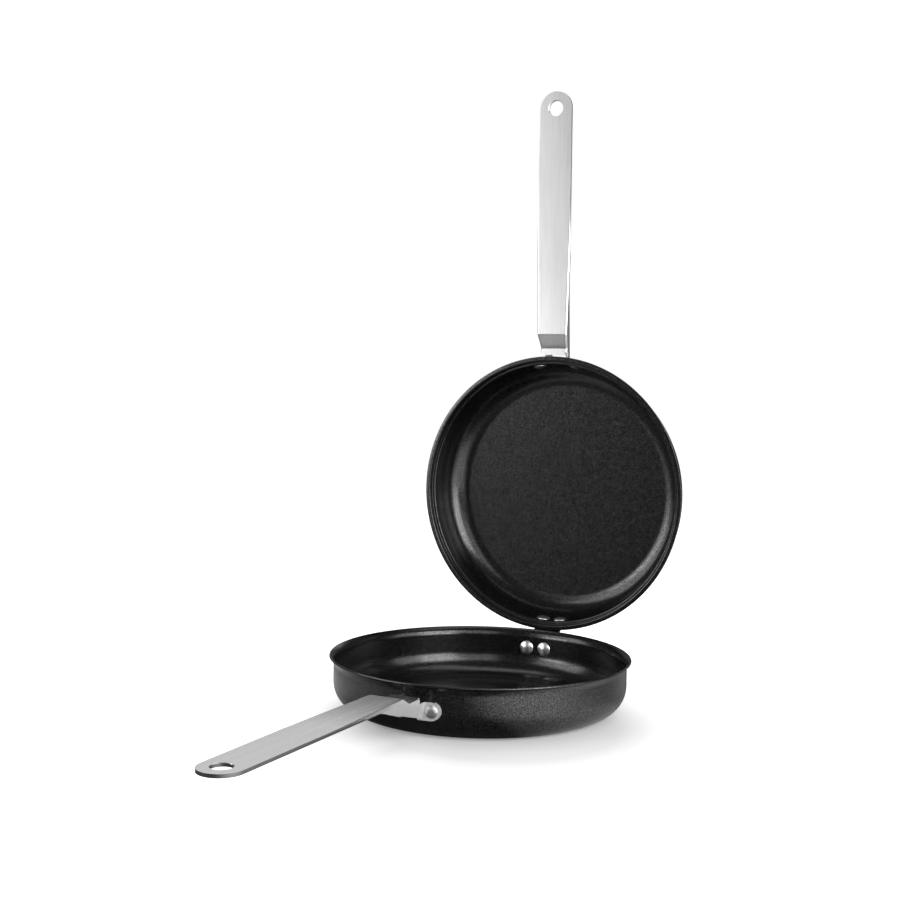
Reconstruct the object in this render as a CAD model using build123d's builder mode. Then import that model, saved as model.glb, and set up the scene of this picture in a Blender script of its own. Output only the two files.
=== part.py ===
"""Double sided flip pan: two shallow pans hinged at the rim, each with a riveted steel handle.

Frame: millimetres, +Z up. The origin is the centre of the lower pan's base, on the surface that it
stands on. The handles are on the -Y side and the hinge on the +Y side. The pan stands open, with the
upper pan upright on the hinge's stop.

Both pans are drawn in the same way, base down and mouth up. Pieces of the upper pan are then turned
over onto the lower one (closed) and swung up about the hinge pin (open).
"""
from math import asin, cos, radians, sin, sqrt
import os

from build123d import *

# pans
pan_height = 43.5         # base to rim
wall_radius = 121.2       # outside of the wall
sheet = 1.5               # pressed steel sheet
corner_radius = 22.0      # outside, from base to wall
rim_reach = 3.8           # lower rim, how far it flares out past the wall
flare_angle = 60.0        # how far the lower rim turns outwards
seat_step = 1.4           # upper rim, from the wall out to the riser above its seat
seat_depth = 5.5          # upper rim, from the lip down to the seat
lip_width = 4.4           # upper rim, flat lip beyond the riser
bend_radius = 1.3         # outside of the upper rim's bends
rim_gap = 0.3             # between the closed rims

# handles, with distances along them counted from the pan's wall
handle_length = 247.8     # to the tip
handle_sheet = 2.5
handle_drop = 3.0         # from rim level to the strap's top
tip_half_width = 15.4
strap_half_width = 16.2   # where the ears begin
strap_end_half_width = 11.0   # where the strap narrows beyond the ears' folds
strap_start = 7.3         # inner end of the strap
hang_hole_radius = 7.0
hole_chamfer = 0.4
lower_dip_start = 37.8
upper_dip_start = 26.0
dip_length = 12.5
dip_depth = 6.0
dip_crest_radius = 5.0
dip_foot_radius = 4.0
ear_start = 72.8
ear_taper = 0.021         # how fast the ears close in towards the pan
ear_tuck = 0.225          # how far they lean in under the strap
fold_end = 9.8            # where the ears' folds stop
fold_radius = 2.0
tab_half_height = 7.0
tab_level = 19.9          # rivet centre below the rim
tab_bend_radius = 2.5

# rivets
rivet_radius = 2.5
handle_rivet_x = 17.7
hinge_rivet_x = 8.5
hinge_rivet_level = 17.0  # below the rim
dome_radius = 6.4         # bright dome inside the pan
dome_height = 2.4
dome_edge = 0.4           # straight edge at the foot of the dome
head_radius = 5.0         # head on a handle's tab
hinge_head_radius = 4.0   # head on a hinge plate
head_height = 1.5
head_chamfer = 0.6

# hinge
pin_reach = 5.7           # pin axis beyond the upper lip
pin_drop = 9.0            # pin axis below the lower rim
open_angle = 90.0
plate_sheet = 2.5
plate_half_width = 14.5
plate_top = 9.0           # below the rim
plate_bottom = 26.5       # below the rim
plate_corner = 4.0
lug_radius = 4.0
lug_half_width = 12.5     # over both lower lugs
lug_root = 3.5            # height of a lug or arm where it leaves its plate
knuckle_half_width = 4.2  # upper lug, between the lower ones
lug_side_gap = 0.3
arm_sheet = 3.0
arm_lip_gap = 1.0         # between the upper arm and its lip
arm_swing_gap = 0.8       # between the upper arm and the lower lugs
arm_bend_radius = 3.0
arm_edge_radius = 0.5
pin_radius = 2.0
pin_fit = 0.08            # running clearance in the upper lug
pin_head_radius = 3.4
pin_head_height = 1.3
pin_head_chamfer = 0.7
stop_reach = 6.0          # stop face, short of the pin axis
stop_top_drop = 2.5       # below the pin axis
stop_height = 8.5
stop_gap = 0.2
heel_length = 7.5
heel_width = 6.5

# values worked out from those above
inner_radius = wall_radius - sheet
rim_radius = wall_radius + rim_reach
seat_radius = wall_radius + seat_step
lip_radius = seat_radius + lip_width
strap_top = pan_height - handle_drop
strap_under = strap_top - handle_sheet
low_top = strap_top - dip_depth
low_under = low_top - handle_sheet
tip_y = tip_half_width - wall_radius - handle_length
ear_y = -wall_radius - ear_start
fold_y = -wall_radius - fold_end
tab_z = pan_height - tab_level
tab_top = tab_z + tab_half_height
tab_under = tab_z - tab_half_height
tab_radius = wall_radius + handle_sheet
hinge_rivet_z = pan_height - hinge_rivet_level
hinge_y = lip_radius + pin_reach
hinge_z = pan_height - pin_drop
plate_radius = wall_radius + plate_sheet
plate_top_z = pan_height - plate_top
closed_height = 2 * pan_height + rim_gap
upper_pin_z = closed_height - hinge_z     # pin axis in the upper pan's own frame
behind_wall = wall_radius - sheet / 2     # start of what the wall's outside then trims
reach = 2 * lip_radius                    # longer than any hole or trim needs
touching = 0.01                           # how near counts as lying on a plane

turned_over = Location((0, 0, closed_height), (0, 180, 0))
at_pin = Location((0, hinge_y, hinge_z))
swung_open = at_pin * Location((0, 0, 0), (-open_angle, 0, 0)) * at_pin.inverse()
open_place = swung_open * turned_over

os.makedirs("parts", exist_ok=True)


def save(part, name, place=None):
    """Place a finished piece, name it and write it."""
    if place is not None:
        part = part.moved(place)
    part.label = name
    export_step(part, f"parts/{name}.step")


def radial_plane(x, z, side):
    """Plane on the pan's axis, facing out through the wall at x, on the -Y or +Y side."""
    out_y = side * sqrt(wall_radius**2 - x**2)
    return Plane((0, 0, z), x_dir=(0, 0, 1), z_dir=(x, out_y, 0))


def radial_section(plane):
    """Plane through a radial plane's own axis, with its X across the axis and its Y along it."""
    return Plane(plane.origin, x_dir=plane.x_dir, z_dir=plane.x_dir.cross(plane.z_dir))


def lies_on(plane):
    """Test for an edge that lies on a plane."""
    return lambda edge: all(abs(plane.to_local_coords(edge @ t).Z) < touching for t in (0, 0.5, 1))


handle_rivets = [radial_plane(hand * handle_rivet_x, tab_z, -1) for hand in (-1, 1)]
hinge_rivets = [radial_plane(hand * hinge_rivet_x, hinge_rivet_z, 1) for hand in (-1, 1)]


# ---------------------------------------------------------------- pans
with BuildPart() as lower_pan:
    with BuildSketch(Plane.XZ):
        with BuildLine():
            flare_radius = rim_reach / (1 - cos(radians(flare_angle)))
            flare_start = pan_height - (flare_radius + sheet) * sin(radians(flare_angle))
            base = Line((0, 0), (wall_radius - corner_radius, 0))
            corner = JernArc(base @ 1, base % 1, corner_radius, 90)
            side = Line(corner @ 1, (wall_radius, flare_start))
            flare = JernArc(side @ 1, side % 1, flare_radius, -flare_angle)
            edge = PolarLine(flare @ 1, sheet, 180 - flare_angle)
            flare_in = JernArc(edge @ 1, -(flare % 1), flare_radius + sheet, flare_angle)
            side_in = Line(flare_in @ 1, (inner_radius, corner_radius))
            corner_in = JernArc(side_in @ 1, side_in % 1, corner_radius - sheet, -90)
            floor = Line(corner_in @ 1, (0, sheet))
            Line(floor @ 1, base @ 0)
        make_face()
    revolve(axis=Axis.Z)
    with BuildSketch(*handle_rivets, *hinge_rivets):
        Circle(rivet_radius)
    extrude(amount=reach, mode=Mode.SUBTRACT)
save(lower_pan.part, "lower_pan")

with BuildPart() as upper_pan:
    with BuildSketch(Plane.XZ):
        with BuildLine():
            seat_z = pan_height - seat_depth
            outline = FilletPolyline(
                (0, 0),
                (wall_radius, 0),
                (wall_radius, seat_z - sheet),
                (seat_radius + sheet, seat_z - sheet),
                (seat_radius + sheet, pan_height - sheet),
                (lip_radius, pan_height - sheet),
                (lip_radius, pan_height),
                (seat_radius, pan_height),
                (seat_radius, seat_z),
                (inner_radius, seat_z),
                (inner_radius, sheet),
                (0, sheet),
                radius=[
                    corner_radius,
                    0,
                    bend_radius,
                    0,
                    0,
                    0,
                    bend_radius,
                    0,
                    bend_radius,
                    corner_radius - sheet,
                ],
            )
            Line(outline @ 1, outline @ 0)
        make_face()
    revolve(axis=Axis.Z)
    with BuildSketch(*handle_rivets, *hinge_rivets):
        Circle(rivet_radius)
    extrude(amount=reach, mode=Mode.SUBTRACT)
save(upper_pan.part, "upper_pan", open_place)


# ---------------------------------------------------------------- handles
ear_faces = [
    Plane((hand * strap_half_width, ear_y, strap_top), z_dir=(hand, ear_taper, -ear_tuck))
    for hand in (-1, 1)
]
ear_backs = [ear_face.offset(-handle_sheet) for ear_face in ear_faces]


def make_handle(dip_start):
    """A strap handle at the lower pan, dipping down a given distance from the wall."""
    dip_y = -wall_radius - dip_start
    dip_end_y = dip_y + dip_length
    flaps = []
    for hand, ear_face, ear_back in zip((-1, 1), ear_faces, ear_backs):
        # ear: bent down from the strap's edge, closing in towards the pan
        with BuildPart() as ear:
            with BuildSketch(Plane.YZ):
                Polygon(
                    (ear_y, strap_under),
                    (ear_y, strap_top - handle_sheet / 2),
                    (dip_y, strap_top - handle_sheet / 2),
                    (dip_end_y, low_top - handle_sheet / 2),
                    (fold_y, low_top - handle_sheet / 2),
                    (fold_y, tab_top),
                    (-inner_radius, tab_top),
                    (-inner_radius, tab_under),
                    align=None,
                )
            extrude(amount=hand * strap_half_width)
            split(bisect_by=ear_face, keep=Keep.BOTTOM)
            split(bisect_by=ear_back, keep=Keep.TOP)
        flaps.append(ear.part)

        # tab: turned outwards from the ear, curved to lie on the wall
        with BuildPart() as tab:
            with BuildSketch(Plane.XZ):
                with Locations((hand * handle_rivet_x, tab_z)):
                    Circle(tab_half_height)
                with Locations((hand * handle_rivet_x / 2, tab_z)):
                    Rectangle(handle_rivet_x, 2 * tab_half_height)
            extrude(amount=tab_radius)
            Cylinder(tab_radius, reach, mode=Mode.INTERSECT)
            split(bisect_by=ear_back, keep=Keep.TOP)
        flaps.append(tab.part)

    with BuildPart() as handle:
        # strap: side view crossed with plan view
        with BuildSketch(Plane.YZ):
            with BuildLine():
                slope = Vector(dip_length, -dip_depth).normalized()
                lean = handle_sheet * (1 - slope.X) / -slope.Y
                top = FilletPolyline(
                    (tip_y - tip_half_width, strap_top),
                    (dip_y, strap_top),
                    (dip_end_y, low_top),
                    (0, low_top),
                    radius=[dip_crest_radius, dip_foot_radius],
                )
                under = FilletPolyline(
                    (0, low_under),
                    (dip_end_y - lean, low_under),
                    (dip_y - lean, strap_under),
                    (tip_y - tip_half_width, strap_under),
                    radius=[dip_foot_radius + handle_sheet, dip_crest_radius - handle_sheet],
                )
                Line(top @ 1, under @ 0)
                Line(under @ 1, top @ 0)
            make_face()
        extrude(amount=strap_half_width, both=True)
        with BuildSketch():
            with BuildLine():
                tip = RadiusArc((-tip_half_width, tip_y), (tip_half_width, tip_y), -tip_half_width)
                Polyline(
                    tip @ 1,
                    (strap_half_width, ear_y),
                    (strap_half_width, fold_y),
                    (strap_end_half_width, fold_y),
                    (strap_end_half_width, -wall_radius - strap_start),
                    (-strap_end_half_width, -wall_radius - strap_start),
                    (-strap_end_half_width, fold_y),
                    (-strap_half_width, fold_y),
                    (-strap_half_width, ear_y),
                    tip @ 0,
                )
            make_face()
        extrude(amount=pan_height, mode=Mode.INTERSECT)
        for ear_face in ear_faces:
            split(bisect_by=ear_face, keep=Keep.BOTTOM)
        add(flaps)

        # wall, rivet holes and hanging hole
        Cylinder(wall_radius, reach, mode=Mode.SUBTRACT)
        with BuildSketch(*handle_rivets):
            Circle(rivet_radius)
        extrude(amount=reach, mode=Mode.SUBTRACT)
        with BuildSketch():
            with Locations((0, tip_y)):
                Circle(hang_hole_radius)
        extrude(amount=pan_height, mode=Mode.SUBTRACT)

        # bends, then the edges of the hanging hole
        folds = []
        for ear_face in ear_faces:
            ridge = handle.edges().filter_by(lies_on(ear_face)).filter_by_position(Axis.Y, ear_y, 0)
            folds += ridge.filter_by_position(Axis.Z, low_top - handle_sheet / 3, pan_height)
        fillet(folds, fold_radius)
        for ear_face in ear_faces:
            joins = handle.edges().filter_by(lies_on(ear_face)).filter_by(GeomType.ELLIPSE)
            fillet(joins.filter_by_position(Axis.Z, tab_under, tab_top), tab_bend_radius)
        beyond_ears = handle.edges().filter_by_position(Axis.Y, tip_y - tip_half_width, ear_y)
        hole_edges = beyond_ears.filter_by(GeomType.CIRCLE).sort_by(SortBy.RADIUS)[:2]
        chamfer(hole_edges, hole_chamfer)
    return handle.part


save(make_handle(lower_dip_start), "lower_handle")
save(make_handle(upper_dip_start), "upper_handle", open_place)


# ---------------------------------------------------------------- rivets
with BuildPart() as pan_room:
    with Locations((0, 0, sheet)):
        Cylinder(inner_radius, pan_height, align=(Align.CENTER, Align.CENTER, Align.MIN))
    fillet(pan_room.edges().group_by(Axis.Z)[0], corner_radius - sheet)


def make_rivet(plane, outer_radius, head):
    """A rivet: bright dome inside the pan, shank, and low head on a piece outside the wall.

    The plane stands on the pan's axis, so lengths along its normal are radii. Both heads bed on
    what they hold.
    """
    head_top = outer_radius + head_height
    head_root = outer_radius - head_height
    dome_root = inner_radius + dome_edge
    with BuildPart() as dome:
        with BuildSketch(radial_section(plane)):
            Polygon((0, dome_root), (dome_radius, dome_root), *dome_outline, align=None)
        revolve(axis=Axis(plane.origin, plane.z_dir))
        add(pan_room.part, mode=Mode.INTERSECT)
    with BuildPart() as piece:
        with BuildSketch(radial_section(plane)):
            Polygon(
                (0, head_root),
                (head, head_root),
                (head, head_top - head_chamfer),
                (head - head_chamfer, head_top),
                (0, head_top),
                align=None,
            )
        revolve(axis=Axis(plane.origin, plane.z_dir))
        Cylinder(outer_radius, reach, mode=Mode.SUBTRACT)
        add(dome.part)
        with BuildSketch(plane.offset(inner_radius - dome_height / 2)):
            Circle(rivet_radius)
        extrude(amount=outer_radius - inner_radius + dome_height / 2 + head_height / 2)
    return piece.part


# the dome is a cap of a sphere, cut as three cones and a flat
dome_rise = dome_height - dome_edge
cap_radius = (dome_radius**2 + dome_rise**2) / (2 * dome_rise)
cap_angle = asin(dome_radius / cap_radius)
cap_centre = inner_radius - dome_height + cap_radius
dome_outline = [
    (cap_radius * sin(turn * cap_angle), cap_centre - cap_radius * cos(turn * cap_angle))
    for turn in (1, 0.75, 0.5, 0.25)
]
dome_outline.append((0, dome_outline[-1][1]))

for hand, side_name in ((-1, "left"), (1, "right")):
    at_handle = radial_plane(hand * handle_rivet_x, tab_z, -1)
    at_hinge = radial_plane(hand * hinge_rivet_x, hinge_rivet_z, 1)
    save(make_rivet(at_handle, tab_radius, head_radius), f"lower_handle_rivet_{side_name}")
    save(make_rivet(at_hinge, plate_radius, hinge_head_radius), f"lower_hinge_rivet_{side_name}")
    # turning the upper pan over swaps its sides
    at_handle = radial_plane(-hand * handle_rivet_x, tab_z, -1)
    at_hinge = radial_plane(-hand * hinge_rivet_x, hinge_rivet_z, 1)
    handle_rivet = make_rivet(at_handle, tab_radius, head_radius)
    hinge_rivet = make_rivet(at_hinge, plate_radius, hinge_head_radius)
    save(handle_rivet, f"upper_handle_rivet_{side_name}", open_place)
    save(hinge_rivet, f"upper_hinge_rivet_{side_name}", open_place)


# ---------------------------------------------------------------- hinge
with BuildPart() as plate:
    with BuildSketch(Plane.XZ):
        with Locations((0, pan_height - (plate_top + plate_bottom) / 2)):
            RectangleRounded(2 * plate_half_width, plate_bottom - plate_top, plate_corner)
    extrude(amount=-plate_radius)
    Cylinder(plate_radius, reach, mode=Mode.INTERSECT)

with BuildPart() as lower_bracket:
    add(plate.part)
    # two lugs, from the plate's top out to the pin
    lug_inner_face = knuckle_half_width + lug_side_gap
    for hand in (-1, 1):
        with BuildSketch(Plane.YZ.offset(hand * lug_inner_face)):
            with Locations((hinge_y, hinge_z)):
                Circle(lug_radius)
            with Locations((behind_wall, plate_top_z - lug_root / 2)):
                Rectangle(sheet, lug_root)
            make_hull(mode=Mode.REPLACE)
        extrude(amount=hand * (lug_half_width - lug_inner_face))
    # stop between the lugs
    stop_face_y = hinge_y - stop_reach
    stop_top = hinge_z - stop_top_drop
    stop_bottom = stop_top - stop_height
    with BuildSketch(Plane.YZ):
        Polygon(
            (behind_wall, stop_bottom - (stop_face_y - behind_wall)),
            (stop_face_y, stop_bottom),
            (stop_face_y, stop_top),
            (behind_wall, stop_top),
            align=None,
        )
    extrude(amount=knuckle_half_width, both=True)
    # pin hole, rivet holes and the wall's curve
    with BuildSketch(Plane.YZ):
        with Locations((hinge_y, hinge_z)):
            Circle(pin_radius)
    extrude(amount=reach, both=True, mode=Mode.SUBTRACT)
    with BuildSketch(*hinge_rivets):
        Circle(rivet_radius)
    extrude(amount=reach, mode=Mode.SUBTRACT)
    Cylinder(wall_radius, reach, mode=Mode.SUBTRACT)
save(lower_bracket.part, "lower_hinge_bracket")

with BuildPart() as upper_bracket:
    add(plate.part)
    # arm, from the plate's top out round the lip
    arm_face = lip_radius + arm_lip_gap
    arm_back = arm_face + arm_sheet
    arm_end = upper_pin_z - lug_radius - arm_swing_gap
    arm_foot = plate_top_z - lug_root
    with BuildSketch(Plane.YZ):
        with BuildLine():
            outline = FilletPolyline(
                (behind_wall, arm_foot),
                (plate_radius, arm_foot),
                (arm_back, arm_foot + arm_back - plate_radius),
                (arm_back, arm_end),
                (arm_face, arm_end),
                (arm_face, plate_top_z + arm_face - plate_radius),
                (plate_radius, plate_top_z),
                (behind_wall, plate_top_z),
                radius=[
                    arm_edge_radius,
                    arm_bend_radius,
                    arm_edge_radius,
                    arm_edge_radius,
                    arm_edge_radius,
                    arm_edge_radius,
                ],
            )
            Line(outline @ 1, outline @ 0)
        make_face()
    extrude(amount=lug_half_width, both=True)
    # knuckle on the pin
    with BuildSketch(Plane.YZ):
        with Locations((hinge_y, upper_pin_z)):
            Circle(lug_radius)
        with Locations(((arm_face + arm_back) / 2, arm_end - arm_edge_radius)):
            Rectangle(arm_sheet, 2 * arm_edge_radius)
        make_hull(mode=Mode.REPLACE)
    extrude(amount=knuckle_half_width, both=True)
    # heel, drawn as it meets the stop with the pan open
    heel_frame = Plane(
        (0, hinge_y, upper_pin_z),
        x_dir=(0, cos(radians(open_angle)), -sin(radians(open_angle))),
        z_dir=(-1, 0, 0),
    )
    with BuildSketch(heel_frame):
        Circle(lug_radius)
        with Locations((stop_gap - stop_reach, -heel_length)):
            Rectangle(heel_width, heel_length, align=(Align.MIN, Align.MIN))
        make_hull(mode=Mode.REPLACE)
    extrude(amount=knuckle_half_width, both=True)
    # pin hole, rivet holes and the wall's curve
    with BuildSketch(Plane.YZ):
        with Locations((hinge_y, upper_pin_z)):
            Circle(pin_radius + pin_fit)
    extrude(amount=reach, both=True, mode=Mode.SUBTRACT)
    with BuildSketch(*hinge_rivets):
        Circle(rivet_radius)
    extrude(amount=plate_radius, mode=Mode.SUBTRACT)
    Cylinder(wall_radius, reach, mode=Mode.SUBTRACT)
save(upper_bracket.part, "upper_hinge_bracket", open_place)

with BuildPart() as hinge_pin:
    with BuildSketch(Plane.YZ):
        with Locations((hinge_y, hinge_z)):
            Circle(pin_radius)
    extrude(amount=lug_half_width, both=True)
    for hand in (-1, 1):
        with BuildSketch(Plane.YZ.offset(hand * lug_half_width)):
            with Locations((hinge_y, hinge_z)):
                Circle(pin_head_radius)
        extrude(amount=hand * pin_head_height)
    chamfer(hinge_pin.edges().group_by(Axis.X)[0], pin_head_chamfer)
    chamfer(hinge_pin.edges().group_by(Axis.X)[-1], pin_head_chamfer)
save(hinge_pin.part, "hinge_pin")
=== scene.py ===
"""Looks of the double sided flip pan: its pieces, materials, floor, lights and camera.

Outlines and the camera's place are in millimetres, and are turned to metres where they are used.
Materials, floor and lights are in metres. The upper pan and its rivets are drawn as if it were a
lower pan and then placed with OPEN, as the solids are.
"""
from math import acos, asin, cos, pi, radians, sin, sqrt, tan

import bmesh
import bpy
from mathutils import Matrix, Vector


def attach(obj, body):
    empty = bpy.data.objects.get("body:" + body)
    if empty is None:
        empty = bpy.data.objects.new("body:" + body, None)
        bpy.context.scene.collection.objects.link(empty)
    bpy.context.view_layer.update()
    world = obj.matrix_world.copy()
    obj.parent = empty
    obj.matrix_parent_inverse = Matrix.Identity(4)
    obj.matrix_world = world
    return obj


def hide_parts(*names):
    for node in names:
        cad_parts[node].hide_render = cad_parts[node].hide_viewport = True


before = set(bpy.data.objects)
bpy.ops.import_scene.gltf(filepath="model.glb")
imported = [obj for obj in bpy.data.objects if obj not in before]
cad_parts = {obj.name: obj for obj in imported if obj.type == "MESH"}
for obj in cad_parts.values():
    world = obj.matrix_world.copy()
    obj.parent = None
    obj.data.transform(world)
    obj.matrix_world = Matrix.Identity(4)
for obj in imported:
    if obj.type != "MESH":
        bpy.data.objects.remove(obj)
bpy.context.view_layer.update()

# ---------------------------------------------------------------- sizes, as in the solids
PAN_HEIGHT = 43.5          # base to rim
WALL = 121.2               # radius outside the wall
SHEET = 1.5
CORNER = 22.0              # outside, from base to wall
RIM_REACH = 3.8            # lower rim, how far it flares out past the wall
FLARE_ANGLE = radians(60)
SEAT_STEP = 1.4            # upper rim, from the wall out to the riser above its seat
SEAT_DEPTH = 5.5
LIP_WIDTH = 4.4
BEND = 1.3                 # rounded sides of the upper rim's bends
RIM_GAP = 0.3              # between the closed rims
HANDLE_SHEET = 2.5
HANDLE_RIVET_X = 17.7
TAB_Z = PAN_HEIGHT - 19.9  # level of a handle's rivets
EAR_START_Y = -194.0
HINGE_RIVET_X = 8.5
HINGE_RIVET_Z = PAN_HEIGHT - 17.0
PLATE_SHEET = 2.5
RIVET = 2.5                # radius of a rivet's shank
DOME = 6.4                 # radius of the dome inside the pan
DOME_HEIGHT = 2.4
DOME_EDGE = 0.4            # part of its height that is a straight side
HANDLE_HEAD = 5.0          # radius of the head on a handle's tab
HINGE_HEAD = 4.0           # radius of the head on a hinge plate
HEAD_HEIGHT = 1.5
PIN_REACH = 5.7            # pin axis beyond the upper lip
PIN_DROP = 9.0             # pin axis below the lower rim

INNER = WALL - SHEET
SEAT_RADIUS = WALL + SEAT_STEP
LIP_RADIUS = SEAT_RADIUS + LIP_WIDTH
PIN = Vector((0, LIP_RADIUS + PIN_REACH, PAN_HEIGHT - PIN_DROP))
CLOSED = 2 * PAN_HEIGHT + RIM_GAP

SWING = Matrix.Translation(PIN) @ Matrix.Rotation(radians(-90), 4, "X") @ Matrix.Translation(-PIN)
OPEN = SWING @ Matrix.Translation((0, 0, CLOSED)) @ Matrix.Rotation(pi, 4, "Y")
STILL = Matrix.Identity(4)

# ---------------------------------------------------------------- sizes that only the looks have
EDGE_ROUND = 0.5           # sheared edges of the pans' sheet
SEAT_CREASE = 0.5          # hollow sides of the upper rim's bends
LIP_CREASE = 0.6
CORNER_STEPS = 14
BEND_STEPS = 8
EDGE_STEPS = 4
FLARE_STEPS = 10
PAN_SEGMENTS = 256
DOME_STEPS = 12
HEAD_STEPS = 6
RIVET_SEGMENTS = 40
BEDDING = 0.45             # how far both heads of a rivet sink into what they hold
FOOT_IN = 0.12             # the dome's eased foot: inwards, and down at its inner and outer end
FOOT_IN_DROP = 0.02
FOOT_OUT_DROP = 0.15
HEAD_SIDE = 0.5            # straight side of an outer head
HEAD_FLAT = 0.55           # flat share of an outer head's radius
HEAD_EDGE_ROUND = 0.3
HEAD_TOP_ROUND = 4.0
STRAP_EASE = 0.4           # rounding of the bent pieces' sharp edges
PLATE_EASE = 0.3
PIN_EASE = 0.2
EASE_SEGMENTS = 3
SHARP = radians(32)        # an edge that bends more is sharp
FLAT = radians(0.5)        # faces that bend less are one flat
SAME_PLACE = 1e-6          # vertices nearer than this are one, in metres
ON_AXIS = 1e-6
SIDEWAYS = 0.5             # part of a face's normal from which it looks along an axis
EDGES_END_Y = EAR_START_Y + 1
TAB_TOP_Z = TAB_Z + 6.5    # below this a face beside the pan is ear or tab


# ---------------------------------------------------------------- mesh helpers
def filleted(points, radii, steps):
    """A polyline with its inner corners rounded."""
    out = [points[0]]
    for before, corner, after, radius in zip(points, points[1:], points[2:], radii):
        here = Vector(corner)
        to_before = (Vector(before) - here).normalized()
        to_after = (Vector(after) - here).normalized()
        half = acos(to_before.dot(to_after)) / 2
        turn = pi - 2 * half
        centre = here + (to_before + to_after).normalized() * (radius / sin(half))
        first = here + to_before * (radius / tan(half)) - centre
        last = here + to_after * (radius / tan(half)) - centre
        for step in range(steps + 1):
            t = step / steps
            a = sin((1 - t) * turn) / sin(turn)
            b = sin(t * turn) / sin(turn)
            out.append(tuple(centre + first * a + last * b))
    out.append(points[-1])
    return out


def finished(name, bm, body, material, node):
    """Makes an object of a bmesh, hangs it on its body and hides the part that it stands for."""
    mesh = bpy.data.meshes.new(name)
    bm.to_mesh(mesh)
    bm.free()
    piece = bpy.data.objects.new(name, mesh)
    bpy.context.scene.collection.objects.link(piece)
    mesh.materials.append(material)
    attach(piece, body)
    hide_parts(node)
    return piece


def lathe(outline, segments, place):
    """Closed surface of revolution: outline is (radius, height) pairs that start and end on the axis."""
    bm = bmesh.new()
    rings = []
    for radius, height in outline:
        if radius < ON_AXIS:
            rings.append([bm.verts.new(place @ Vector((0, 0, height)) / 1000)])
            continue
        ring = []
        for k in range(segments):
            a = 2 * pi * k / segments
            point = Vector((radius * cos(a), radius * sin(a), height))
            ring.append(bm.verts.new(place @ point / 1000))
        rings.append(ring)
    for low, high in zip(rings, rings[1:]):
        for k in range(segments):
            after = (k + 1) % segments
            corners = [
                low[k % len(low)],
                low[after % len(low)],
                high[after % len(high)],
                high[k % len(high)],
            ]
            bm.faces.new(list(dict.fromkeys(corners)))
    for face in bm.faces:
        face.smooth = True
    bmesh.ops.recalc_face_normals(bm, faces=bm.faces)
    return bm


# ---------------------------------------------------------------- node helpers
class Tree:
    """A node tree, with one short call for each kind of node that the looks use."""

    def __init__(self, owner):
        owner.use_nodes = True
        self.nodes = owner.node_tree.nodes
        self.links = owner.node_tree.links
        self.nodes.clear()

    def add(self, kind):
        return self.nodes.new("ShaderNode" + kind)

    def feed(self, socket, source):
        """Links a socket to another node's output, or writes a value on it."""
        if isinstance(source, bpy.types.NodeSocket):
            self.links.new(source, socket)
        else:
            socket.default_value = source

    def coords(self):
        """The object's own coordinates, in metres, which are the world's at rest."""
        return self.add("TexCoord").outputs["Object"]

    def apart(self, vector):
        """X, Y and Z of a vector."""
        node = self.add("SeparateXYZ")
        self.feed(node.inputs[0], vector)
        return node.outputs

    def math(self, operation, *values):
        node = self.add("Math")
        node.operation = operation
        for socket, value in zip(node.inputs, values):
            self.feed(socket, value)
        return node.outputs[0]

    def spread(self, source, start, end, low, high):
        """From low at start to high at end, and held at both beyond."""
        node = self.add("MapRange")
        self.feed(node.inputs["Value"], source)
        self.feed(node.inputs["From Min"], start)
        self.feed(node.inputs["From Max"], end)
        self.feed(node.inputs["To Min"], low)
        self.feed(node.inputs["To Max"], high)
        return node.outputs["Result"]

    def noise(self, scale, detail=2.0, stretch=(1, 1, 1), roughness=0.5):
        """Noise with about scale cells in a metre, drawn out along an axis whose stretch is small."""
        mapping = self.add("Mapping")
        self.feed(mapping.inputs["Vector"], self.coords())
        self.feed(mapping.inputs["Scale"], stretch)
        texture = self.add("TexNoise")
        self.feed(texture.inputs["Vector"], mapping.outputs["Vector"])
        self.feed(texture.inputs["Scale"], scale)
        self.feed(texture.inputs["Detail"], detail)
        self.feed(texture.inputs["Roughness"], roughness)
        return texture.outputs["Fac"]

    def ramp(self, source, *stops):
        """Grey that follows source: stops are (position, grey)."""
        node = self.add("ValToRGB")
        elements = node.color_ramp.elements
        while len(elements) < len(stops):
            elements.new(0.5)
        for element, (position, grey) in zip(elements, stops):
            element.position = position
            element.color = (grey, grey, grey, 1)
        self.feed(node.inputs["Fac"], source)
        return node.outputs["Color"]

    def mix(self, kind, amount, a, b):
        """Two colours, mixed or multiplied."""
        node = self.add("Mix")
        node.data_type = "RGBA"
        node.blend_type = kind
        self.feed(node.inputs["Factor"], amount)
        self.feed(node.inputs[6], a)
        self.feed(node.inputs[7], b)
        return node.outputs[2]

    def bump(self, height, distance, strength, before=None):
        """Normal over a height that is distance metres deep; before is the normal it starts from."""
        node = self.add("Bump")
        self.feed(node.inputs["Strength"], strength)
        self.feed(node.inputs["Distance"], distance)
        self.feed(node.inputs["Height"], height)
        if before is not None:
            self.feed(node.inputs["Normal"], before)
        return node.outputs["Normal"]


def new_material(name):
    """A material with a Principled shader, its tree and the shader's inputs."""
    material = bpy.data.materials.new(name)
    tree = Tree(material)
    output = tree.add("OutputMaterial")
    shader = tree.add("BsdfPrincipled")
    tree.feed(output.inputs["Surface"], shader.outputs["BSDF"])
    return material, tree, shader.inputs


# ---------------------------------------------------------------- materials
SAG_LENGTH = 0.090         # how far the strap's sag reaches
SAG_DEPTH = 0.0045


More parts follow.
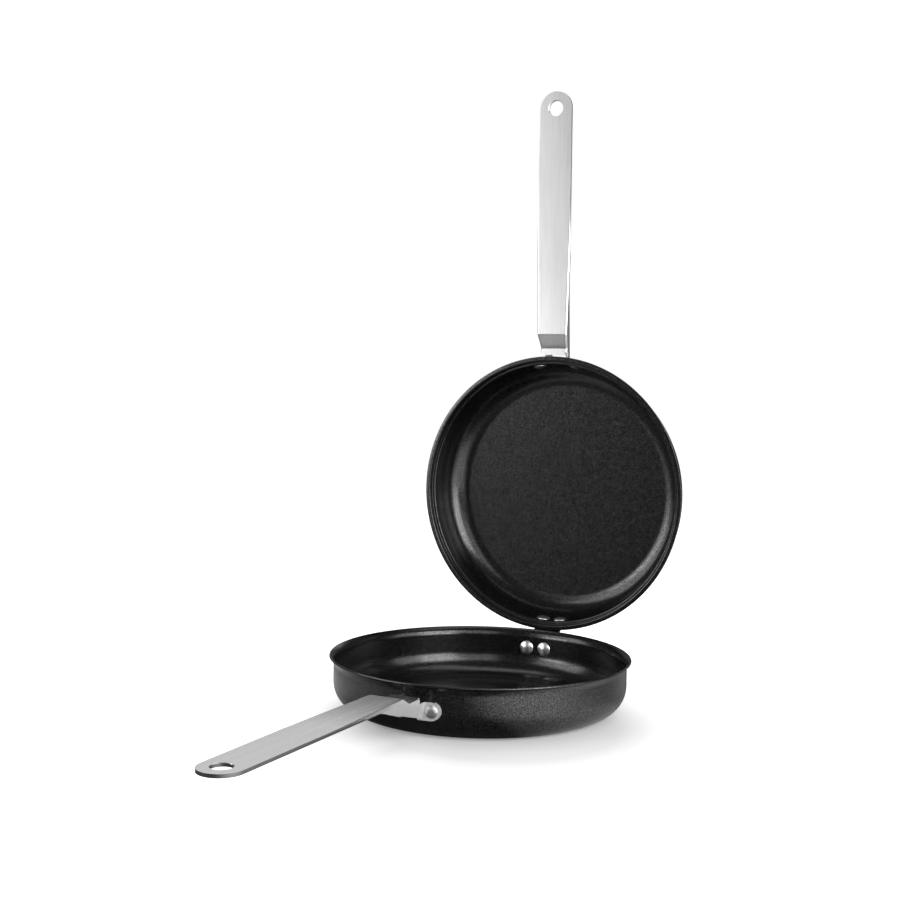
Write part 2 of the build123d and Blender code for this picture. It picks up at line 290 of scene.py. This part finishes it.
def coating(name, base, fleck, roughness):
    """Non-stick coating: charcoal, fine pale flecks and a slight orange peel."""
    material, tree, shader = new_material(name)
    fine = tree.noise(1350, detail=1.0)
    coarse = tree.noise(520)
    cloud = tree.noise(14, detail=3.0)
    flecks = tree.ramp(fine, (0.0, base), (0.54, base), (0.70, fleck))
    tint = tree.ramp(cloud, (0.3, 0.82), (0.7, 1.0))
    gloss = tree.ramp(fine, (0.34, 0.27), (0.66, 1.09))
    peel = tree.bump(coarse, 0.00006, 0.25)
    tree.feed(shader["Base Color"], tree.mix("MULTIPLY", 1.0, flecks, tint))
    tree.feed(shader["Roughness"], tree.ramp(coarse, (0.3, roughness - 0.04), (0.7, roughness + 0.06)))
    tree.feed(shader["Specular IOR Level"], gloss)
    tree.feed(shader["Normal"], tree.bump(fine, 0.00004, 0.14, peel))
    return material


def sagging(tree, axis, start):
    """Height that falls with the square of the way beyond start along an axis."""
    beyond = tree.spread(tree.apart(tree.coords())[axis], start, start + SAG_LENGTH, 0.0, 1.0)
    return tree.math("MULTIPLY", tree.math("MULTIPLY", beyond, beyond), -1.0)


def brushed(name, stretch, grey, roughness, metallic=1.0, sag=None):
    """Brushed steel, with its grain along one axis; less metallic where a copy sets it so.

    A strap sags faintly towards its dip: sag is the axis that it runs along and where it starts.
    """
    material, tree, shader = new_material(name)
    grain = tree.noise(900, detail=4.0, stretch=stretch, roughness=0.6)
    broad = tree.noise(120, detail=3.0, stretch=stretch)
    tone = tree.ramp(grain, (0.25, grey * 0.92), (0.75, grey * 1.04))
    shade = tree.ramp(broad, (0.3, 0.94), (0.7, 1.0))
    normal = tree.bump(grain, 0.00003, 0.02)
    if sag:
        normal = tree.bump(sagging(tree, *sag), SAG_DEPTH, 1.0, normal)
    tree.feed(shader["Base Color"], tree.mix("MULTIPLY", 1.0, tone, shade))
    tree.feed(shader["Metallic"], metallic)
    tree.feed(shader["Roughness"], tree.ramp(grain, (0.25, roughness - 0.03), (0.75, roughness + 0.04)))
    tree.feed(shader["Normal"], normal)
    return material


def polished(name, grey, roughness):
    """Polished steel with faint scuffs."""
    material, tree, shader = new_material(name)
    scuffs = tree.noise(700, detail=4.0)
    tree.feed(shader["Base Color"], tree.ramp(scuffs, (0.35, grey * 0.9), (0.7, grey)))
    tree.feed(shader["Metallic"], 1.0)
    tree.feed(shader["Roughness"], tree.ramp(scuffs, (0.35, roughness), (0.75, roughness + 0.12)))
    tree.feed(shader["Normal"], tree.bump(scuffs, 0.00002, 0.4))
    return material


def black_paint(name):
    """Satin black paint on pressed steel, rubbed at its edges."""
    material, tree, shader = new_material(name)
    peel = tree.noise(900)
    edges = tree.add("NewGeometry").outputs["Pointiness"]
    rubbed = tree.ramp(edges, (0.56, 0.0), (0.68, 1.0))
    patchy = tree.ramp(tree.noise(380, detail=3.0), (0.45, 0.0), (0.6, 1.0))
    wear = tree.mix("MULTIPLY", 1.0, rubbed, patchy)
    paint = tree.ramp(peel, (0.3, 0.008), (0.75, 0.02))
    steel = tree.ramp(peel, (0.3, 0.12), (0.75, 0.22))
    tree.feed(shader["Base Color"], tree.mix("MIX", wear, paint, steel))
    tree.feed(shader["Roughness"], tree.ramp(peel, (0.3, 0.32), (0.7, 0.45)))
    tree.feed(shader["Normal"], tree.bump(peel, 0.00006, 0.5))
    return material


EVEN = (1.0, 1.0, 1.0)     # grain with no direction
ALONG_Y = (1.0, 0.03, 1.0)
ALONG_Z = (1.0, 1.0, 0.03)

pan_coat = coating("pan_coat", base=0.0015, fleck=0.024, roughness=0.21)
strap_steel_flat = brushed("strap_steel_flat", ALONG_Y, grey=0.74, roughness=0.25, sag=("Y", -0.250))
# painted light: the upright strap is the same steel as the flat one, given a lighter grey for the light
# on it
strap_steel_upright_painted_light = brushed("strap_steel_upright_painted_light", ALONG_Z, grey=0.94, roughness=0.32)
# painted shade: the strap's side faces get a far darker grey of the same steel, for the shade on them
side_steel_painted_shade = brushed("side_steel_painted_shade", EVEN, grey=0.24, roughness=0.32)
# painted shade: the lower ears and tabs get a darker grey of the same steel, and are rougher and less
# metallic
ear_steel_painted_shade = brushed("ear_steel_painted_shade", EVEN, grey=0.60, roughness=0.45, metallic=0.35)
rivet_steel = polished("rivet_steel", grey=0.92, roughness=0.28)
pin_steel = polished("pin_steel", grey=0.60, roughness=0.28)
hinge_paint = black_paint("hinge_paint")


# ---------------------------------------------------------------- pans
def lower_pan_outline():
    """Base, wall and flared rim outside the sheet, then back along its inside."""
    radius = RIM_REACH / (1 - cos(FLARE_ANGLE))
    start = PAN_HEIGHT - (radius + SHEET) * sin(FLARE_ANGLE)
    angles = [FLARE_ANGLE * step / FLARE_STEPS for step in range(FLARE_STEPS + 1)]

    def flare(side_radius, turns):
        return [(WALL + radius - side_radius * cos(a), start + side_radius * sin(a)) for a in turns]

    outside = flare(radius, angles[1:])
    inside = flare(radius + SHEET, angles[-2::-1])
    across = Vector((-cos(FLARE_ANGLE), sin(FLARE_ANGLE)))
    along = Vector((sin(FLARE_ANGLE), cos(FLARE_ANGLE)))
    edge_low = Vector(outside.pop())
    edge_high = edge_low + across * SHEET
    corners = [edge_low - along, edge_low, edge_high, edge_high - along]
    edge = filleted([tuple(corner) for corner in corners], [EDGE_ROUND, EDGE_ROUND], EDGE_STEPS)
    outline = filleted([(0, 0), (WALL, 0), (WALL, start)], [CORNER], CORNER_STEPS)
    outline += outside + edge[1:-1] + inside
    corner_in = filleted([(INNER, start), (INNER, SHEET), (0, SHEET)], [CORNER - SHEET], CORNER_STEPS)
    return outline + corner_in[1:]


def upper_pan_outline():
    """The same pan, with a pressed seat and a flat lip as its rim."""
    seat_z = PAN_HEIGHT - SEAT_DEPTH
    corners = [
        ((WALL, 0), CORNER),
        ((WALL, seat_z - SHEET), SEAT_CREASE),
        ((SEAT_RADIUS + SHEET, seat_z - SHEET), BEND),
        ((SEAT_RADIUS + SHEET, PAN_HEIGHT - SHEET), LIP_CREASE),
        ((LIP_RADIUS, PAN_HEIGHT - SHEET), EDGE_ROUND),
        ((LIP_RADIUS, PAN_HEIGHT), EDGE_ROUND),
        ((SEAT_RADIUS, PAN_HEIGHT), BEND),
        ((SEAT_RADIUS, seat_z), LIP_CREASE),
        ((INNER, seat_z), BEND),
        ((INNER, SHEET), CORNER - SHEET),
    ]
    points = [(0, 0)] + [point for point, radius in corners] + [(0, SHEET)]
    return filleted(points, [radius for point, radius in corners], BEND_STEPS)


def pan(node, outline, body, place):
    shell = lathe(outline, PAN_SEGMENTS, place)
    finished(node + "_shell", shell, body, pan_coat, node)


pan("lower_pan", lower_pan_outline(), "lower", STILL)
pan("upper_pan", upper_pan_outline(), "upper", OPEN)


# ---------------------------------------------------------------- rivets
def rivet_outline(outer, head):
    """Dome inside the pan, shank through the wall, low head outside; heights are the pan's radii."""
    rise = DOME_HEIGHT - DOME_EDGE
    cap = (DOME**2 + rise**2) / (2 * rise)
    crown = INNER - DOME_HEIGHT
    dome = [(0, crown)]
    for step in range(1, DOME_STEPS + 1):
        a = asin(DOME / cap) * step / DOME_STEPS
        dome.append((cap * sin(a), crown + cap * (1 - cos(a))))
    dome[-1] = (DOME - FOOT_IN, dome[-1][1] + FOOT_IN_DROP)
    shank = [
        (DOME, INNER - DOME_EDGE + FOOT_OUT_DROP),
        (DOME, INNER + BEDDING),
        (RIVET, INNER + BEDDING),
        (RIVET, outer - BEDDING),
    ]
    top = outer + HEAD_HEIGHT
    side = [(head, outer - BEDDING), (head, outer + HEAD_SIDE), (head * HEAD_FLAT, top), (0, top)]
    return dome + shank + filleted(side, [HEAD_EDGE_ROUND, HEAD_TOP_ROUND], HEAD_STEPS)


# x, level and side of the pan, then the radius that the outer head lies on, and the head's own
RIVETS = {
    "handle": (HANDLE_RIVET_X, TAB_Z, -1, WALL + HANDLE_SHEET, HANDLE_HEAD),
    "hinge": (HINGE_RIVET_X, HINGE_RIVET_Z, 1, WALL + PLATE_SHEET, HINGE_HEAD),
}


def rivet(body, holds, word, hand, place):
    """The rivet of a handle or hinge on one side of a pan."""
    x, z, side, outer, head = RIVETS[holds]
    node = f"{body}_{holds}_rivet_{word}"
    axis = Vector((hand * x, side * sqrt(WALL**2 - x**2), 0)).normalized()
    turn = axis.to_track_quat("Z", "Y").to_matrix().to_4x4()
    where = place @ Matrix.Translation((0, 0, z)) @ turn
    shape = lathe(rivet_outline(outer, head), RIVET_SEGMENTS, where)
    finished(node + "_steel", shape, body, rivet_steel, node)


for hand, word in ((-1, "left"), (1, "right")):
    for holds in RIVETS:
        rivet("lower", holds, word, hand, STILL)
        rivet("upper", holds, word, -hand, OPEN)  # turning the pan over swaps its sides


# ---------------------------------------------------------------- bent steel pieces
def sort_strap_faces(bm, body):
    """Numbers a strap's faces by material: 0 for flats, 1 for sheared edges, which carry painted shade, 2
    for ears and tabs.
    """
    own_frame = (OPEN if body == "upper" else STILL).inverted()
    for face in bm.faces:
        middle = own_frame @ (face.calc_center_median() * 1000)
        normal = own_frame.to_3x3() @ face.normal
        if middle.y > EAR_START_Y and (abs(normal.x) > SIDEWAYS or middle.z < TAB_TOP_Z):
            face.material_index = 2
        elif middle.y < EDGES_END_Y and abs(normal.z) < SIDEWAYS:
            face.material_index = 1


def eased(name, node, body, materials, width):
    """A solid's mesh with its flats made whole, its sharp edges rounded and its shading even.

    A strap takes three materials: for its flats, its sheared edges, and its ears and tabs, whose greys
    carry painted light and shade.
    """
    bm = bmesh.new()
    bm.from_mesh(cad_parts[node].data)
    bmesh.ops.remove_doubles(bm, verts=bm.verts, dist=SAME_PLACE)
    bmesh.ops.dissolve_limit(bm, angle_limit=FLAT, verts=bm.verts, edges=bm.edges)
    for face in bm.faces:
        face.smooth = True
    for edge in bm.edges:
        edge.smooth = edge.calc_face_angle(pi) < SHARP
    if len(materials) > 1:
        sort_strap_faces(bm, body)
    piece = finished(name, bm, body, materials[0], node)
    for material in materials[1:]:
        piece.data.materials.append(material)
    bevel = piece.modifiers.new("edges", "BEVEL")
    bevel.width = width / 1000
    bevel.segments = EASE_SEGMENTS
    bevel.limit_method = "ANGLE"
    bevel.angle_limit = SHARP
    bevel.use_clamp_overlap = True
    even = piece.modifiers.new("shading", "WEIGHTED_NORMAL")
    even.mode = "FACE_AREA"
    even.weight = 100


lower_steels = [strap_steel_flat, side_steel_painted_shade, ear_steel_painted_shade]
upper_steels = [strap_steel_upright_painted_light, side_steel_painted_shade, strap_steel_upright_painted_light]
eased("lower_handle_strap", "lower_handle", "lower", lower_steels, STRAP_EASE)
eased("upper_handle_strap", "upper_handle", "upper", upper_steels, STRAP_EASE)
eased("lower_hinge_plate", "lower_hinge_bracket", "lower", [hinge_paint], PLATE_EASE)
eased("upper_hinge_plate", "upper_hinge_bracket", "upper", [hinge_paint], PLATE_EASE)
eased("hinge_pin_steel", "hinge_pin", "lower", [pin_steel], PIN_EASE)

# ---------------------------------------------------------------- floor and world
FLOOR_REACH = 6
FLOOR_TONE = 0.72
# painted shade: the darker grey that the floor shows in reflections instead of its own tone
FLOOR_TONE_PAINTED_DARK_IN_REFLECTIONS = 0.12
SHADOW_CENTRE = (0.045, -0.055, 0)
SHADOW_EDGE = (0.09, 0.20)    # from its centre, where the floor turns white to the camera
SHADOW_GLOW = 0.2             # how much of that white it has within
GLOW = 1.6                    # the floor's glow to the right of the pans, as they mirror it
GLOW_RIGHT = (0.07, 0.15)     # X over which it comes up to the right
GLOW_FRONT = (0.05, -0.10)    # Y over which it comes up to the front
GLOW_BACK_SHARE = 0.2
GLOW_LEFT = (-0.05, -0.16)    # X over which it comes up to the left
GLOW_LEFT_SHARE = 0.32
GLOW_LEFT_END = (0.24, 0.34)  # from the shadow's centre, where it goes out on the left
WORLD_LIGHT = 0.1


def side_glow(tree, coords, away):
    """How much the floor glows in reflections: at the pans' sides, and not in front of them."""
    place = tree.apart(coords)
    to_right = tree.spread(place["X"], *GLOW_RIGHT, 0.0, 1.0)
    to_front = tree.spread(place["Y"], *GLOW_FRONT, GLOW_BACK_SHARE, 1.0)
    to_left = tree.spread(place["X"], *GLOW_LEFT, 0.0, GLOW_LEFT_SHARE)
    near = tree.spread(away, *GLOW_LEFT_END, 1.0, 0.0)
    right = tree.math("MULTIPLY", to_right, to_front)
    left = tree.math("MULTIPLY", to_left, near)
    return tree.math("ADD", right, left)


def floor_paint():
    """Pale paint that keeps the pan's shadow and is white to the camera beyond it; painted shade in
    reflections.
    """
    material = bpy.data.materials.new("floor_paint")
    tree = Tree(material)
    path = tree.add("LightPath").outputs
    coords = tree.coords()
    distance = tree.add("VectorMath")
    distance.operation = "DISTANCE"
    tree.feed(distance.inputs[0], coords)
    tree.feed(distance.inputs[1], SHADOW_CENTRE)
    away = distance.outputs["Value"]
    seen = tree.math("MULTIPLY", path["Is Camera Ray"], tree.spread(away, *SHADOW_EDGE, SHADOW_GLOW, 1.0))
    mirrored = tree.math("MULTIPLY", path["Is Glossy Ray"], side_glow(tree, coords, away))
    paint = tree.add("BsdfDiffuse")
    # painted shade: reflected rays see the floor in a darker grey than it has
    tone = tree.spread(path["Is Glossy Ray"], 0.0, 1.0, FLOOR_TONE, FLOOR_TONE_PAINTED_DARK_IN_REFLECTIONS)
    tree.feed(paint.inputs["Color"], tone)
    glow = tree.add("Emission")
    tree.feed(glow.inputs["Strength"], tree.math("MULTIPLY_ADD", mirrored, GLOW, seen))
    both = tree.add("AddShader")
    tree.feed(both.inputs[0], paint.outputs[0])
    tree.feed(both.inputs[1], glow.outputs[0])
    tree.feed(tree.add("OutputMaterial").inputs["Surface"], both.outputs[0])
    return material


def lay_floor():
    corners = [
        (-FLOOR_REACH, -FLOOR_REACH, 0),
        (FLOOR_REACH, -FLOOR_REACH, 0),
        (FLOOR_REACH, FLOOR_REACH, 0),
        (-FLOOR_REACH, FLOOR_REACH, 0),
    ]
    mesh = bpy.data.meshes.new("floor")
    mesh.from_pydata(corners, [], [(0, 1, 2, 3)])
    mesh.materials.append(floor_paint())
    floor = bpy.data.objects.new("floor", mesh)
    bpy.context.scene.collection.objects.link(floor)


def hang_world():
    """White to the camera, and a weak plain light to everything else."""
    world = bpy.data.worlds.new("studio")
    bpy.context.scene.world = world
    tree = Tree(world)
    seen = tree.add("LightPath").outputs["Is Camera Ray"]
    sky = tree.add("Background")
    tree.feed(sky.inputs["Color"], (1, 1, 1, 1))
    tree.feed(sky.inputs["Strength"], tree.math("MULTIPLY_ADD", seen, 1 - WORLD_LIGHT, WORLD_LIGHT))
    tree.feed(tree.add("OutputWorld").inputs["Surface"], sky.outputs[0])


lay_floor()
hang_world()


# ---------------------------------------------------------------- lights
def softbox(name, at, aim, width, height, brightness):
    """A rectangular lamp that the camera doesn't see; brightness is how white a mirror shows it."""
    lamp = bpy.data.lights.new(name, "AREA")
    lamp.shape = "RECTANGLE"
    lamp.size = width
    lamp.size_y = height
    lamp.energy = brightness * pi * width * height
    lamp_object = bpy.data.objects.new(name, lamp)
    lamp_object.location = at
    lamp_object.rotation_euler = (Vector(aim) - Vector(at)).to_track_quat("-Z", "Y").to_euler()
    lamp_object.visible_camera = False
    bpy.context.scene.collection.objects.link(lamp_object)


softbox("right_softbox", (1.25, -0.63, 0.63), (0, 0.09, 0.10), 0.85, 1.1, 5.8)
softbox("right_wing", (1.45, 0.04, 0.63), (0, 0.09, 0.10), 0.75, 0.9, 1.8)
softbox("right_panel", (0.61, -1.18, 0.76), (0, 0.18, 0.17), 0.80, 0.90, 1.3)
softbox("left_softbox", (-1.12, -0.80, 0.62), (0, 0.1, 0.15), 1.15, 0.9, 2.35)
softbox("front_panel", (-0.91, -1.01, 0.24), (-0.03, 0.18, 0.20), 0.60, 0.30, 4.4)
softbox("back_softbox", (-0.6, 2.6, 1.20), (0, 0, 0.1), 4.0, 1.0, 0.80)
softbox("top_softbox", (0.0, 0.6, 1.9), (0, 0, 0), 2.2, 1.8, 1.2)

# ---------------------------------------------------------------- camera, fitted to the photograph
AZIMUTH = radians(26.48)
ELEVATION = radians(2.677)
ROLL = radians(0.898)
FOCAL_PIXELS = 1272.1
FRAME_PIXELS = 900
SENSOR_WIDTH = 36
DISTANCE = 1059.22         # back, right and up from the centre of the lower pan's base
ACROSS = -27.56
UP = 212.00
NEAREST = 0.05             # clipping, in metres
FARTHEST = 50


def aim_camera():
    back = Vector((sin(AZIMUTH) * cos(ELEVATION), -cos(AZIMUTH) * cos(ELEVATION), sin(ELEVATION)))
    level_right = (-back).cross(Vector((0, 0, 1))).normalized()
    level_up = level_right.cross(-back)
    right = level_right * cos(ROLL) + level_up * sin(ROLL)
    up = level_up * cos(ROLL) - level_right * sin(ROLL)
    camera_data = bpy.data.cameras.new("camera")
    camera_data.sensor_width = SENSOR_WIDTH
    camera_data.lens = FOCAL_PIXELS * SENSOR_WIDTH / FRAME_PIXELS
    camera_data.clip_start = NEAREST
    camera_data.clip_end = FARTHEST
    camera = bpy.data.objects.new("camera", camera_data)
    place = (level_right * ACROSS + level_up * UP + back * DISTANCE) / 1000
    camera.matrix_world = Matrix.Translation(place) @ Matrix((right, up, back)).transposed().to_4x4()
    bpy.context.scene.collection.objects.link(camera)
    bpy.context.scene.camera = camera


aim_camera()
bpy.context.scene.view_settings.view_transform = "Standard"
